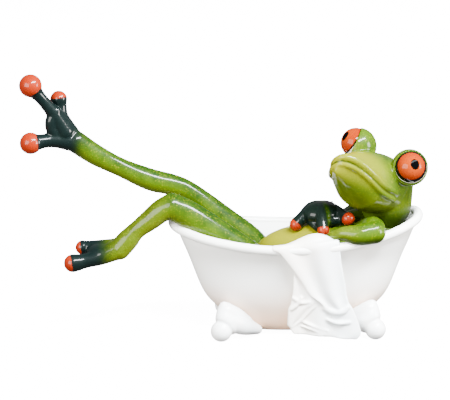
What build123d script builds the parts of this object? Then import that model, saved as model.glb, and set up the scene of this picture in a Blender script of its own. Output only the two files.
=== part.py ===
from build123d import *
import os
from math import cos, pi, sin

# A frog lying in a claw-foot bathtub: a glued and painted cast-resin figurine.
# Millimetres, +Z up. The frog's feet point to -X, its head to +X, and its left side
# to -Y. The figurine stands on the four balls of the bathtub's feet.

# Fits
glue_line = 0.1  # film of glue between two castings
pin_clearance = 0.15  # around a pin or wire in its bore
overrun = 5.0  # how far a cutting shape runs past what it cuts

# Bathtub
tub_length = 123.0  # between the centres of the roll at the two ends
tub_width = 57.0  # between the centres of the roll at the two sides
rim_height = 47.3  # centre of the roll above the table, halfway along
feet_end_rise = 8.0  # how much higher the roll is at the end under the frog's feet
head_end_rise = 10.9  # how much higher the roll is behind the frog's head
roll_diameter = 4.6
wall = 2.8
floor_wall = 4.0
ground_clearance = 1.5  # air under the bathtub's bottom
plan_power = 2.4  # 2 is an ellipse; more is squarer
plan_steps = 24  # points round the plan
roll_sections = 16  # round sections along half of the roll
rim_line_shares = (-1.1, -0.8, -0.5, -0.25, 0, 0.25, 0.5, 0.8, 1.1)  # of half the length

# The bathtub's outside, from the bottom up: height as a share of the way from the
# bottom to the roll, half length and half width as shares of the roll's
tub_section_shares = [
    (0.0, 0.406, 0.386),
    (0.024, 0.463, 0.491),
    (0.098, 0.553, 0.596),
    (0.234, 0.642, 0.684),
    (0.336, 0.715, 0.744),
    (0.555, 0.803, 0.814),
    (0.832, 0.881, 0.895),
    (1.0, 0.934, 1.014),
    (1.146, 0.978, 1.06),
    (1.3, 1.026, 1.1),
]

# Bathtub feet
foot_ball_diameter = 10.0
foot_end_inset = 24.0  # from the roll at the bathtub's end to the ball's centre
foot_side_inset = 4.0  # from the roll at the bathtub's side to the ball's centre
foot_ball_x = tub_length / 2 - foot_end_inset
foot_ball_y = tub_width / 2 - foot_side_inset
foot_height = 19.5  # from the table to the top of the bracket
foot_reach = 20.0  # how far the bracket spreads along the bathtub at its base
foot_sink = 0.35  # depth of the flat under each ball
peg_diameter = 3.0
peg_length = 9.0
peg_clearance = 0.3

# The bracket of a foot, from the table up: height as a share of its height, how far
# its middle lies from the ball as shares of its reach, and its two half widths
bracket_shares = [
    (0.0, 0.22, 0.32, 0.33, 0.32),
    (0.15, 0.33, 0.36, 0.50, 0.41),
    (0.41, 0.21, 0.37, 0.38, 0.39),
    (0.67, 0.09, 0.41, 0.25, 0.31),
    (0.92, 0.02, 0.48, 0.13, 0.19),
    (1.0, 0.01, 0.52, 0.05, 0.08),
]

# Torso
body_length = 77.4  # from the tail to the neck, along the reclining spine
body_depth = 46.6
body_width = 36.0
recline = 30.0  # degrees of the spine above the table
tail_to_head_end = 81.5  # from the tail to the roll behind the head
tail_height = 14.5  # above the bathtub's inside floor

# Sections of the torso: along the spine, lift of the middle, half depth and half
# width, as shares of the body's length, depth, half depth and half width
torso_shares = [
    (-0.055, 0.06, 0.13, 0.18),
    (0.0, 0.047, 0.386, 0.556),
    (0.123, -0.032, 0.87, 0.861),
    (0.279, -0.057, 1.03, 0.989),
    (0.46, -0.094, 0.974, 1.0),
    (0.639, -0.092, 0.785, 0.972),
    (0.791, -0.127, 0.622, 0.889),
    (0.912, -0.144, 0.451, 0.722),
    (1.0, -0.129, 0.258, 0.5),
]

joint_share = 1.03  # a ball at a joint stands a little proud of the limb
left_knee_bends = [4]  # which points of the left leg are sharp bends
right_leg_bends = [4, 6]  # which points of the right leg its wire bends at

# Legs
thigh_diameter = 16.0
hip_height = 27.5  # above the bathtub's inside floor
hip_to_head_end = 77.5  # from the hips to the roll behind the head
left_hip_offset = 9.0
right_hip_offset = 7.0
left_ankle_overhang = 28.0  # from the roll at the feet end out to the ankle
right_ankle_overhang = 48.4
hip_to_feet_end = tub_length - hip_to_head_end
left_leg_reach = hip_to_feet_end + left_ankle_overhang
right_leg_reach = hip_to_feet_end + right_ankle_overhang
left_knee_rise = 34.6  # from hip to knee
right_leg_rise = 64.3  # from hip to ankle

# Points of each leg: level, sideways and up as shares of the reach, the hip offset
# and the rise, and the thickness as a share of the thigh's
left_leg_shares = [
    (0.0, 1.0, 0.0, 1.0),
    (0.15, 1.1, 0.266, 0.975),
    (0.418, 1.1, 0.679, 0.94),
    (0.544, 1.1, 0.868, 0.88),
    (0.633, 1.1, 0.965, 0.82),
    (0.705, 1.1, 0.892, 0.74),
    (0.776, 1.1, 0.772, 0.675),
    (0.871, 1.1, 0.613, 0.575),
    (0.935, 1.1, 0.486, 0.65),
    (1.0, 1.1, 0.335, 0.69),
]
right_leg_shares = [
    (0.0, 1.0, 0.0, 1.0),
    (0.069, 1.0, 0.151, 0.95),
    (0.216, 1.0, 0.334, 0.875),
    (0.320, 1.0, 0.471, 0.74),
    (0.411, 1.0, 0.575, 0.66),
    (0.490, 0.93, 0.625, 0.675),
    (0.604, 0.857, 0.670, 0.70),
    (0.764, 0.714, 0.778, 0.5875),
    (0.892, 0.571, 0.885, 0.625),
    (1.0, 0.43, 1.0, 0.65),
]

# Feet: each toe's points from the ankle, as shares of the foot's length, with the
# thickness as a share of the thigh's; the last point is the ball of the toe pad
foot_length = 25.0
left_toe_shares = [
    [(-0.06, 0.0, -0.03, 0.66), (-0.36, -0.04, -0.148, 0.54), (-0.63, -0.06, -0.216, 0.47),
     (-0.80, -0.07, -0.25, 0.54), (-0.90, -0.08, -0.26, 0.575)],
    [(-0.06, 0.12, 0.01, 0.55), (-0.38, 0.24, 0.0, 0.40), (-0.58, 0.31, -0.03, 0.39),
     (-0.69, 0.33, -0.05, 0.46)],
    [(-0.06, 0.16, -0.04, 0.5), (-0.32, 0.40, -0.14, 0.375), (-0.48, 0.54, -0.20, 0.36),
     (-0.57, 0.60, -0.22, 0.44)],
]
left_palm_shares = (-0.27, 0.12, -0.09, 0.36, 0.33, 0.185)
right_toe_shares = [
    [(-0.22, -0.02, 0.20, 0.63), (-0.44, -0.06, 0.588, 0.45), (-0.64, -0.09, 0.852, 0.375),
     (-0.784, -0.104, 1.028, 0.46), (-0.908, -0.12, 1.196, 0.675)],
    [(-0.16, 0.04, 0.20, 0.5), (-0.24, 0.12, 0.48, 0.375), (-0.32, 0.184, 0.74, 0.375),
     (-0.33, 0.20, 0.868, 0.50)],
    [(-0.22, -0.02, 0.12, 0.63), (-0.40, -0.08, 0.10, 0.475), (-0.588, -0.12, 0.048, 0.425),
     (-0.764, -0.16, 0.02, 0.49), (-0.924, -0.18, 0.004, 0.60)],
]
right_palm_shares = (-0.23, -0.02, 0.20, 0.33, 0.19, 0.32)

# Head, in its own frame: forward, to the frog's left, and up, from between the eyes
head_length = 37.3  # from between the eyes to the lip
head_width = 36.0
head_height = 29.0  # from the skull's top to the throat
head_to_end = 17.4  # from between the eyes back to the roll
head_place_height = 82.3  # above the bathtub's inside floor
head_forward = (-0.664, -0.684, 0.302)
head_up = (0.314, 0.112, 0.943)
lip_overhang = 0.7
mouth_lap = 2.0  # how far the lower jaw reaches up inside the upper lip
skull_power = 2.5  # 2 is an oval arch; more is squarer
throat_power = 2.1
arch_steps = 8  # points over the arch of a section
eye_spacing = 35.0
eye_mound_diameter = 18.6
eye_diameter = 16.0
eye_forward = 2.2  # how far the eye stands out of its mound
eye_axis = (0.66, 0.74, 0.14)  # forward, outward, up

# Stations of the head: forward as a share of its length, half width of its half
# width, and the levels of the skull, the mouth and the throat as shares of its height
head_shares = [
    (-0.50, 0.30, -0.28, -0.42, -0.56),
    (-0.42, 0.66, -0.14, -0.46, -0.76),
    (-0.27, 0.86, -0.03, -0.51, -0.90),
    (-0.08, 0.97, 0.028, -0.545, -0.965),
    (0.134, 1.0, 0.035, -0.548, -1.0),
    (0.375, 0.945, 0.0, -0.517, -0.985),
    (0.59, 0.81, -0.062, -0.466, -0.90),
    (0.777, 0.62, -0.138, -0.414, -0.74),
    (0.925, 0.38, -0.224, -0.372, -0.56),
    (1.0, 0.11, -0.30, -0.345, -0.42),
]

# Neck: points from the bathtub's middle and its inside floor
neck_diameter = 20.0
neck_height = 22.0  # between its ends
neck_to_end = 20.5  # from its lower end back to the roll
neck_base = 44.5  # of its lower end, above the bathtub's inside floor
neck_shares = [
    (0.0, 0.0, 0.0, 1.08),
    (0.07, 0.0, 0.27, 0.98),
    (0.20, -0.02, 0.60, 0.98),
    (0.20, -0.05, 1.0, 1.04),
]

# Arms: points as shares of the arm's length, from the middle of the shoulders
arm_length = 42.0
shoulders_to_end = 25.5  # from the shoulders back to the roll
shoulder_height = 48.0  # above the bathtub's inside floor
shoulder_width = 24.0
arm_diameter = 11.6
upper_arm_shares = [
    (0.0, 0.0, 0.0, 0.97),
    (0.083, 0.119, 0.060, 1.03),
    (0.143, 0.250, 0.074, 0.96),
]
elbow_shares = (0.131, 0.321, 0.069, 0.98)
left_forearm_shares = [
    (0.119, 0.345, 0.069, 0.94),
    (-0.024, 0.381, 0.060, 0.93),
    (-0.167, 0.381, 0.040, 0.86),
    (-0.310, 0.340, 0.014, 0.67),
    (-0.440, 0.269, -0.021, 0.48),
]
right_forearm_shares = [
    (0.107, 0.321, 0.083, 0.94),
    (-0.048, 0.250, 0.131, 0.90),
    (-0.214, 0.107, 0.186, 0.76),
    (-0.381, -0.071, 0.221, 0.59),
    (-0.464, -0.190, 0.221, 0.57),
]

# Hands: each finger's points from the wrist, as shares of the hand's length, with
# the thickness as a share of the arm's; the last point is the ball of the finger pad
hand_length = 20.0
left_finger_shares = [
    [(-0.05, 0.04, -0.02, 0.47), (-0.22, 0.22, -0.09, 0.56), (-0.46, 0.37, -0.12, 0.46),
     (-0.68, 0.48, -0.15, 0.50)],
    [(-0.04, 0.05, -0.01, 0.45), (-0.19, 0.26, -0.06, 0.48), (-0.37, 0.50, -0.03, 0.42),
     (-0.52, 0.68, -0.02, 0.47)],
]
left_hand_palm_shares = (-0.26, 0.28, -0.08, 0.22, 0.22, 0.15)
right_finger_shares = [
    [(-0.05, -0.075, -0.01, 0.60), (-0.40, -0.275, -0.04, 0.64), (-0.65, -0.415, -0.22, 0.54),
     (-0.835, -0.50, -0.395, 0.57)],
    [(-0.075, -0.125, 0.0, 0.60), (-0.185, -0.50, -0.02, 0.64), (-0.205, -0.80, -0.175, 0.55),
     (-0.185, -1.0, -0.41, 0.53)],
    [(0.0, -0.10, 0.0, 0.60), (0.20, -0.40, -0.02, 0.58), (0.355, -0.66, -0.06, 0.50),
     (0.445, -0.81, -0.125, 0.55)],
]
right_hand_palm_shares = (-0.215, -0.35, -0.13, 0.47, 0.42, 0.29)

# Wires and dowels
wire_diameter = 1.6
knee_bend_radius = 9.0
shin_bend_radius = 25.0
wire_root_depth = 10.0  # how far a wire reaches into the torso
wire_tip_depth = 6.0  # how far it reaches into the foot
neck_dowel_diameter = 3.0
neck_dowel_share = 1.15  # its length, as a share of the neck's lower part
shoulder_dowel_diameter = 2.4
shoulder_dowel_depth = 5.0  # how far it reaches into the torso
shoulder_dowel_share = 0.5  # how far it reaches along the upper arm's second part
wrist_dowel_diameter = 1.2
wrist_dowel_depth = 4.0  # how far it reaches each way

# Towel
towel_thickness = 3.2
flap_thickness = 1.8
towel_width = 34.0  # over the rim
towel_left = -13.8  # its left edge on the rim, from the bathtub's middle
towel_hem_height = 0.5  # above the table
towel_hang_out = 2.4  # from the roll's centre out to the hanging part's face
towel_overhang = tub_width / 2 + towel_hang_out
pleat_depth = 1.1
pleats = 4
bunch_inset = 0.7  # from the roll's centre in to the middle of the bunched part
bunch_middle = tub_width / 2 - bunch_inset
corner_proud = 0.5  # how far the folded corner stands out of the hanging part
towel_rounding = 0.6

# The hanging part, from the hem up: height as a share of the roll's height, the left
# and right edges as shares of the towel's width, how far it hangs out
hanging_shares = [
    (0.0, 0.30, 1.31, 1.0),
    (0.13, 0.36, 1.315, 1.01),
    (0.27, 0.50, 1.24, 1.0),
    (0.42, 0.58, 1.11, 0.99),
    (0.62, 0.50, 1.08, 1.0),
    (0.84, 0.28, 1.03, 1.015),
    (1.0, 0.08, 0.985, 1.02),
]
# The bunched part over the roll: along the towel's width, its top above the roll's
# centre and its half breadth, as shares of the towel's width
bunch_shares = [
    (0.0, 0.075, 0.10),
    (0.15, 0.115, 0.125),
    (0.40, 0.165, 0.135),
    (0.60, 0.215, 0.145),
    (0.72, 0.205, 0.145),
    (0.90, 0.165, 0.135),
    (0.99, 0.08, 0.10),
]
# Outline of the layer folded over the front: across and up, as shares of the towel's
# width and of the roll's height
flap_shares = [
    (0.02, 1.04), (0.14, 0.95), (0.30, 0.79), (0.42, 0.67), (0.57, 0.51),
    (0.66, 0.45), (0.74, 0.445), (0.80, 0.62), (0.76, 0.86), (0.64, 1.08),
]
# Outline of the corner folded back at the lower left
corner_shares = [
    (0.325, 0.77), (0.46, 0.63), (0.60, 0.48), (0.56, 0.36), (0.44, 0.24),
    (0.36, 0.11), (0.255, 0.17), (0.245, 0.37), (0.29, 0.46),
]
# Underside of the hem, which is higher at the left
hem_shares = [(0.0, 0.125), (0.60, 0.075), (0.85, 0.03), (1.35, 0.0)]


def signed_power(value, power):
    """A number raised to a power, with its sign kept."""
    return (abs(value) ** power) * (1 if value >= 0 else -1)


def plan_points(half_length, half_width, count=plan_steps):
    """Points round the bathtub's plan, a rounded oblong."""
    turns = [2 * pi * step / count for step in range(count)]
    return [
        (
            half_length * signed_power(cos(turn), 2 / plan_power),
            half_width * signed_power(sin(turn), 2 / plan_power),
        )
        for turn in turns
    ]


def roll_height(x):
    """Height of the roll's centre at a place along the bathtub."""
    rise = head_end_rise if x > 0 else feet_end_rise
    return rim_height + rise * (2 * x / tub_length) ** 2


def tub_form(inset, lift):
    """The bathtub's outside drawn in by an inset, with its bottom lifted."""
    depth = rim_height - ground_clearance
    with BuildPart() as form:
        for height_share, length_share, width_share in tub_section_shares:
            height = ground_clearance + depth * height_share
            rise = lift * (1 - height_share / tub_section_shares[-1][0])
            outline = plan_points(
                tub_length / 2 * length_share - inset,
                tub_width / 2 * width_share - inset,
            )
            with BuildSketch(Plane.XY.offset(height + rise)):
                with BuildLine():
                    Spline(*outline, periodic=True)
                make_face()
        loft()
    return form.part


def roll_form(grow):
    """The rolled rim: one half lofted through round sections, and its mirror image."""
    path = [
        Vector(x, y, roll_height(x))
        for x, y in plan_points(tub_length / 2, tub_width / 2, 4 * roll_sections)
    ]
    count = len(path)
    with BuildPart() as form:
        for step in range(roll_sections + 1):
            index = 2 * step
            along = path[(index + 1) % count] - path[index - 1]
            with BuildSketch(Plane(path[index], x_dir=along.cross(Vector(0, 0, 1)), z_dir=along)):
                Circle(roll_diameter / 2 + grow)
        loft()
        mirror(about=Plane.XZ)
    return form.part


def above_the_rim(lift):
    """Everything higher than the roll's centre."""
    places = [tub_length / 2 * share for share in rim_line_shares]
    line = [(x, roll_height(x) + lift) for x in places]
    top = rim_height + head_end_rise + feet_end_rise + 2 * overrun
    with BuildPart() as form:
        with BuildSketch(Plane.XZ):
            with BuildLine():
                Spline(*line)
                Polyline(line[-1], (places[-1], top), (places[0], top), line[0])
            make_face()
        extrude(amount=tub_width, both=True)
    return form.part


def tub_shell(gap):
    """The bathtub's wall, floor and roll, grown by a gap on every side."""
    with BuildPart() as form:
        add(tub_form(-gap, -gap))
        add(tub_form(wall + gap, floor_wall + gap), mode=Mode.SUBTRACT)
        add(above_the_rim(gap), mode=Mode.SUBTRACT)
        add(roll_form(gap))
    return form.part


def limb(points, radii):
    """A limb lofted through round sections along a line of points."""
    across = Vector(0, 1, 0)
    with BuildPart() as form:
        for index, radius in enumerate(radii):
            before = points[max(index - 1, 0)]
            after = points[min(index + 1, len(points) - 1)]
            along = (after - before).normalized()
            across = (across - along * across.dot(along)).normalized()
            with BuildSketch(Plane(points[index], x_dir=across, z_dir=along)):
                Circle(radius)
        loft()
    return form.part


def ball(centre, radius, axis=Vector(0, 0, 1)):
    """A ball at a place, with its poles on an axis."""
    with BuildPart() as form:
        with Locations(Plane(centre, z_dir=axis).location):
            Sphere(radius)
    return form.part


def oval_ball(centre, half_x, half_y, half_z):
    """A ball stretched to three half sizes."""
    with BuildPart() as form:
        Sphere(half_x)
        scale(by=(1, half_y / half_x, half_z / half_x))
    return Pos(centre) * form.part


def rod(start, end, diameter):
    """A straight round rod between two places."""
    with BuildPart() as form:
        with BuildSketch(Plane(start, z_dir=end - start)):
            Circle(diameter / 2)
        extrude(amount=(end - start).length)
    return form.part


def bent_wire(route, radii, diameter):
    """A wire bent to a route of straight runs and arcs."""
    with BuildPart() as form:
        with BuildLine() as path:
            FilletPolyline(*route, radius=radii)
        with BuildSketch(Plane(route[0], z_dir=route[1] - route[0])):
            Circle(diameter / 2)
        sweep(path=path.wires()[0])
    return form.part


def largest(shape):
    """The main solid of a shape, without the crumbs that a cut can leave."""
    return shape.solids().sort_by(SortBy.VOLUME)[-1]


inside_floor = ground_clearance + floor_wall
head_end = tub_length / 2


def torso_form(grow):
    """The plump body: a loft through ovals square to the reclining spine."""
    spine = Vector(1, 0, 0).rotate(Axis.Y, -recline)
    lift = Vector(0, 0, 1).rotate(Axis.Y, -recline)
    tail = Vector(head_end - tail_to_head_end, 0, inside_floor + tail_height)
    with BuildPart() as form:
        for along_share, lift_share, depth_share, width_share in torso_shares:
            centre = tail + spine * (body_length * along_share) + lift * (body_depth * lift_share)
            with BuildSketch(Plane(centre, x_dir=Vector(0, 1, 0), z_dir=spine)):
                Ellipse(body_width / 2 * width_share + grow, body_depth / 2 * depth_share + grow)
        loft()
    return form.part


def leg_points(side, offset, reach, rise, leg_shares):
    """The line of a leg, from hip to ankle; side is -1 for the frog's left."""
    hip = Vector(head_end - hip_to_head_end, 0, inside_floor + hip_height)
    return [
        hip + Vector(-reach * level, side * offset * aside, rise * up)
        for level, aside, up, _ in leg_shares
    ]


def thicknesses(rows, diameter, grow=0):
    """Radii from the last column of a table of shares."""
    return [diameter / 2 * row[-1] + grow for row in rows]


def placed(start, length, rows):
    """Points from the first three columns of a table of shares."""
    return [start + Vector(*row[:3]) * length for row in rows]


left_leg_line = leg_points(-1, left_hip_offset, left_leg_reach, left_knee_rise, left_leg_shares)
right_leg_line = leg_points(1, right_hip_offset, right_leg_reach, right_leg_rise, right_leg_shares)


def leg_form(line, leg_shares, knees, grow):
    """A leg: a length of limb to each sharp bend, with a ball at the hip and there."""
    radii = thicknesses(leg_shares, thigh_diameter, grow)
    ends = [0] + knees + [len(line) - 1]
    with BuildPart() as form:
        for first, last in zip(ends, ends[1:]):
            add(limb(line[first:last + 1], radii[first:last + 1]))
            add(ball(line[first], radii[first] * joint_share))
    return form.part


def digits_form(start, length, digit_shares, diameter, palm_shares, grow):
    """Toes or fingers that spread from a palm, each with a round pad."""
    with BuildPart() as form:
        for rows in digit_shares:
            points = placed(start, length, rows)
            radii = thicknesses(rows, diameter, grow)
            add(limb(points, radii))
            add(ball(points[-1], radii[-1] * joint_share, points[-1] - points[-2]))
        palm = placed(start, length, [palm_shares])[0]
        half_sizes = [length * share + grow for share in palm_shares[3:]]
        add(oval_ball(palm, *half_sizes))
    return form.part


# Bathtub, with a blind socket for the peg of each foot
def peg_rod(x_side, y_side, diameter, extra):
    """The upright peg of one bathtub foot, or its socket."""
    bracket_middle = foot_reach * bracket_shares[1][1]
    start = Vector(
        x_side * (foot_ball_x - bracket_middle),
        y_side * (foot_ball_y - 2 * foot_reach * bracket_shares[1][2] + peg_diameter / 2),
        peg_diameter / 2,
    )
    return rod(start, start + Vector(0, 0, peg_length + extra), diameter)


corners = [(x_side, y_side) for y_side in (-1, 1) for x_side in (-1, 1)]

with BuildPart() as bathtub:
    add(tub_shell(0))
    for x_side, y_side in corners:
        add(peg_rod(x_side, y_side, peg_diameter + 2 * pin_clearance, peg_clearance),
            mode=Mode.SUBTRACT)

tub_seat = tub_shell(glue_line)
tub_outside = tub_form(-glue_line, -glue_line)

# Bathtub feet: a bracket under the bathtub, a ball that stands on the table and a peg
with BuildPart() as foot_casting:
    for height_share, x_share, y_share, half_x_share, half_y_share in bracket_shares:
        with BuildSketch(Plane.XY.offset(foot_height * height_share)):
            with Locations(
                (-foot_ball_x + foot_reach * x_share, -foot_ball_y + foot_reach * y_share)
            ):
                Ellipse(foot_reach * half_x_share, foot_reach * half_y_share)
    loft()
    with Locations((-foot_ball_x, -foot_ball_y, foot_ball_diameter / 2 - foot_sink)):
        Sphere(foot_ball_diameter / 2)
    split(bisect_by=Plane.XY, keep=Keep.TOP)
    add(tub_outside, mode=Mode.SUBTRACT)
foot_solid = largest(foot_casting.part)

tub_feet = {}
for x_side, y_side in corners:
    with BuildPart() as tub_foot:
        add(foot_solid)
        add(peg_rod(-1, -1, peg_diameter, 0))
    casting = tub_foot.part
    if x_side > 0:
        casting = casting.mirror(Plane.YZ)
    if y_side > 0:
        casting = casting.mirror(Plane.XZ)
    name = f"tub_foot_{'front' if y_side < 0 else 'back'}_{'left' if x_side < 0 else 'right'}"
    tub_feet[name] = casting

# Steel wires that stiffen the legs, from the torso to the feet
def wire_route(line, bends):
    """A wire's route: from inside the torso, round the bends and into the foot."""
    root = line[0] + (line[0] - line[1]).normalized() * wire_root_depth
    tip = line[-1] + (line[-1] - line[-2]).normalized() * wire_tip_depth
    return [root] + [line[bend] for bend in bends] + [tip]


left_wire_route = wire_route(left_leg_line, left_knee_bends)
right_wire_route = wire_route(right_leg_line, right_leg_bends)
left_leg_wire = bent_wire(left_wire_route, [knee_bend_radius], wire_diameter)
right_leg_wire = bent_wire(right_wire_route, [knee_bend_radius, shin_bend_radius], wire_diameter)
bore_diameter = wire_diameter + 2 * pin_clearance
left_leg_bore = bent_wire(left_wire_route, [knee_bend_radius], bore_diameter)
right_leg_bore = bent_wire(right_wire_route, [knee_bend_radius, shin_bend_radius], bore_diameter)

# Dowels of the neck and shoulders
neck_seat = Vector(head_end - neck_to_end, 0, inside_floor + neck_base)
neck_line = [neck_seat + Vector(*row[:3]) * neck_height for row in neck_shares]
neck_dowel_ends = (neck_line[0], neck_line[0] + (neck_line[2] - neck_line[0]) * neck_dowel_share)


def arm_points(side, arm_shares):
    """Points of an arm, from the middle between the shoulders."""
    along = head_end - shoulders_to_end
    middle = Vector(along, side * shoulder_width / 2, inside_floor + shoulder_height)
    return [
        middle + Vector(ahead, side * out, up) * arm_length for ahead, out, up, _ in arm_shares
    ]


def arm_form(side, forearm_shares, grow):
    """An upper arm and a forearm with a round elbow between them."""
    with BuildPart() as form:
        for rows in (upper_arm_shares, forearm_shares):
            add(limb(arm_points(side, rows), thicknesses(rows, arm_diameter, grow)))
        for rows in ([elbow_shares], upper_arm_shares):
            radius = thicknesses(rows, arm_diameter, grow)[0]
            add(ball(arm_points(side, rows)[0], radius * joint_share))
    return form.part


def shoulder_dowel_ends(side):
    """The two ends of a shoulder's dowel: in the torso and in the upper arm."""
    first, second, third = arm_points(side, upper_arm_shares)
    inward = (first - second).normalized()
    return first + inward * shoulder_dowel_depth, second + (third - second) * shoulder_dowel_share


torso_seat = torso_form(glue_line)
left_arm_line = arm_points(-1, left_forearm_shares)
right_arm_line = arm_points(1, right_forearm_shares)


def wrist_dowel_ends(line):
    """The two ends of a wrist's dowel, either side of the joint."""
    along = (line[-1] - line[-2]).normalized()
    return line[-1] - along * wrist_dowel_depth, line[-1] + along * wrist_dowel_depth


dowel_ends = {
    "neck_dowel": (*neck_dowel_ends, neck_dowel_diameter),
    "left_shoulder_dowel": (*shoulder_dowel_ends(-1), shoulder_dowel_diameter),
    "right_shoulder_dowel": (*shoulder_dowel_ends(1), shoulder_dowel_diameter),
    "left_wrist_dowel": (*wrist_dowel_ends(left_arm_line), wrist_dowel_diameter),
    "right_wrist_dowel": (*wrist_dowel_ends(right_arm_line), wrist_dowel_diameter),
}
dowels = {name: rod(start, end, across) for name, (start, end, across) in dowel_ends.items()}


def dowel_bore(name):
    """The bore for a dowel, with its clearance all round and at both ends."""
    start, end, across = dowel_ends[name]
    slack = (end - start).normalized() * pin_clearance
    return rod(start - slack, end + slack, across + 2 * pin_clearance)


# Torso, seated on the bathtub's floor and its end wall
with BuildPart() as torso:
    add(torso_form(0))
    add(tub_seat, mode=Mode.SUBTRACT)
    add(left_leg_bore, mode=Mode.SUBTRACT)
    add(right_leg_bore, mode=Mode.SUBTRACT)
    for name in ("neck_dowel", "left_shoulder_dowel", "right_shoulder_dowel"):
        add(dowel_bore(name), mode=Mode.SUBTRACT)


def leg_casting(line, leg_shares, knees, bore):
    """A leg cut to its seats on the torso and the rim, and bored for its wire."""
    with BuildPart() as casting:
        add(leg_form(line, leg_shares, knees, 0))
        add(torso_seat, mode=Mode.SUBTRACT)
        add(tub_seat, mode=Mode.SUBTRACT)
        add(bore, mode=Mode.SUBTRACT)
    return largest(casting.part)


left_leg = leg_casting(left_leg_line, left_leg_shares, left_knee_bends, left_leg_bore)
right_leg = leg_casting(right_leg_line, right_leg_shares, [], right_leg_bore)


def joint_plane(line):
    """The plane of the glued joint at the end of a limb."""
    along = (line[-1] - line[-2]).normalized()
    return Plane(line[-1] + along * glue_line, z_dir=along)


def foot_casting_on(line, toe_shares, palm_shares, bore):
    """A foot that starts at the ankle's joint."""
    with BuildPart() as casting:
        add(digits_form(line[-1], foot_length, toe_shares, thigh_diameter, palm_shares, 0))
        split(bisect_by=joint_plane(line), keep=Keep.TOP)
        add(bore, mode=Mode.SUBTRACT)
    return largest(casting.part)


left_foot = foot_casting_on(left_leg_line, left_toe_shares, left_palm_shares, left_leg_bore)
right_foot = foot_casting_on(right_leg_line, right_toe_shares, right_palm_shares, right_leg_bore)

# Head
up = Vector(*head_up).normalized()
forward = Vector(*head_forward)
forward = (forward - up * forward.dot(up)).normalized()
head_frame = Plane(
    Vector(head_end - head_to_end, 0, inside_floor + head_place_height), x_dir=forward, z_dir=up
)
leftward = head_frame.y_dir


def in_head(ahead, left, high):
    """A place given forward, left and up in the head's own frame."""
    return head_frame.origin + forward * ahead + leftward * left + up * high


def eye_mound(side):
    """The middle of one of the two mounds that carry the eyes."""
    return in_head(0, side * eye_spacing / 2, 0)


def gaze(side):
    """The direction in which an eye looks."""
    ahead, outward, high = eye_axis
    return (forward * ahead + leftward * (side * outward) + up * high).normalized()


def eye_form(side, grow):
    """An eye, which stands a little out of its mound."""
    return ball(eye_mound(side) + gaze(side) * eye_forward, eye_diameter / 2 + grow, gaze(side))


def arch_points(half, base, crown, power):
    """Points over a rounded arch, from one side of its base to the other."""
    turns = [pi * step / arch_steps for step in range(arch_steps + 1)]
    return [
        (-half * signed_power(cos(turn), 2 / power), base + (crown - base) * sin(turn) ** (2 / power))
        for turn in turns
    ]


def jaw_form(crowns, power, inset, lap):
    """Half of the head, from the mouth to the skull or to the throat."""
    with BuildPart() as form:
        for (ahead, width_share, _, mouth_share, _), crown_share in zip(head_shares, crowns):
            half = head_width / 2 * width_share
            half = half - min(inset, half / 2)
            level = head_height * mouth_share + min(lap, half / 2)
            crown = head_height * crown_share
            way = (0, 1 if crown > level else -1)
            station = Plane(in_head(head_length * ahead, 0, 0), x_dir=leftward, z_dir=forward)
            with BuildSketch(station):
                with BuildLine():
                    Spline(*arch_points(half, level, crown, power), tangents=[way, (0, -way[1])])
                    Line((half, level), (-half, level))
                make_face()
        loft()
    return form.part


with BuildPart() as head:
    add(jaw_form([row[2] for row in head_shares], skull_power, 0, 0))
    add(jaw_form([row[4] for row in head_shares], throat_power, lip_overhang, mouth_lap))
    for side in (-1, 1):
        add(ball(eye_mound(side), eye_mound_diameter / 2, gaze(side)))
    add(limb(neck_line, thicknesses(neck_shares, neck_diameter)))
    for side in (-1, 1):
        add(eye_form(side, glue_line), mode=Mode.SUBTRACT)
    add(torso_seat, mode=Mode.SUBTRACT)
    add(tub_seat, mode=Mode.SUBTRACT)
    add(dowel_bore("neck_dowel"), mode=Mode.SUBTRACT)
head_solid = largest(head.part)

# Eyes: glossy balls in their sockets
eyes = {"left_eye": eye_form(1, 0), "right_eye": eye_form(-1, 0)}

neck_seat_form = limb(neck_line, thicknesses(neck_shares, neck_diameter, glue_line))


def arm_casting(side, forearm_shares, name):
    """An arm cut to its seats on the torso and the rim, and bored for its dowels."""
    with BuildPart() as casting:
        add(arm_form(side, forearm_shares, 0))
        add(torso_seat, mode=Mode.SUBTRACT)
        add(neck_seat_form, mode=Mode.SUBTRACT)
        add(tub_seat, mode=Mode.SUBTRACT)
        for joint in ("shoulder", "wrist"):
            add(dowel_bore(f"{name}_{joint}_dowel"), mode=Mode.SUBTRACT)
    return largest(casting.part)


left_arm = arm_casting(-1, left_forearm_shares, "left")
right_arm = arm_casting(1, right_forearm_shares, "right")


def hand_form(line, finger_shares, palm_shares, grow):
    """A hand that starts at the wrist's joint."""
    with BuildPart() as form:
        add(digits_form(line[-1], hand_length, finger_shares, arm_diameter, palm_shares, grow))
        split(bisect_by=joint_plane(line), keep=Keep.TOP)
    return form.part


left_hand_seat = hand_form(left_arm_line, left_finger_shares, left_hand_palm_shares, glue_line)
right_hand_seat = hand_form(right_arm_line, right_finger_shares, right_hand_palm_shares, glue_line)
with BuildPart() as right_hand:
    add(hand_form(right_arm_line, right_finger_shares, right_hand_palm_shares, 0))
    add(torso_seat, mode=Mode.SUBTRACT)
    add(dowel_bore("right_wrist_dowel"), mode=Mode.SUBTRACT)
with BuildPart() as left_hand:
    add(hand_form(left_arm_line, left_finger_shares, left_hand_palm_shares, 0))
    add(torso_seat, mode=Mode.SUBTRACT)
    add(right_hand_seat, mode=Mode.SUBTRACT)
    add(dowel_bore("left_wrist_dowel"), mode=Mode.SUBTRACT)


# Towel: cast in one, hung over the near rim, folded over at the front
def towel_x(share):
    """A place across the towel, from its left edge on the rim."""
    return towel_left + towel_width * share


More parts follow.
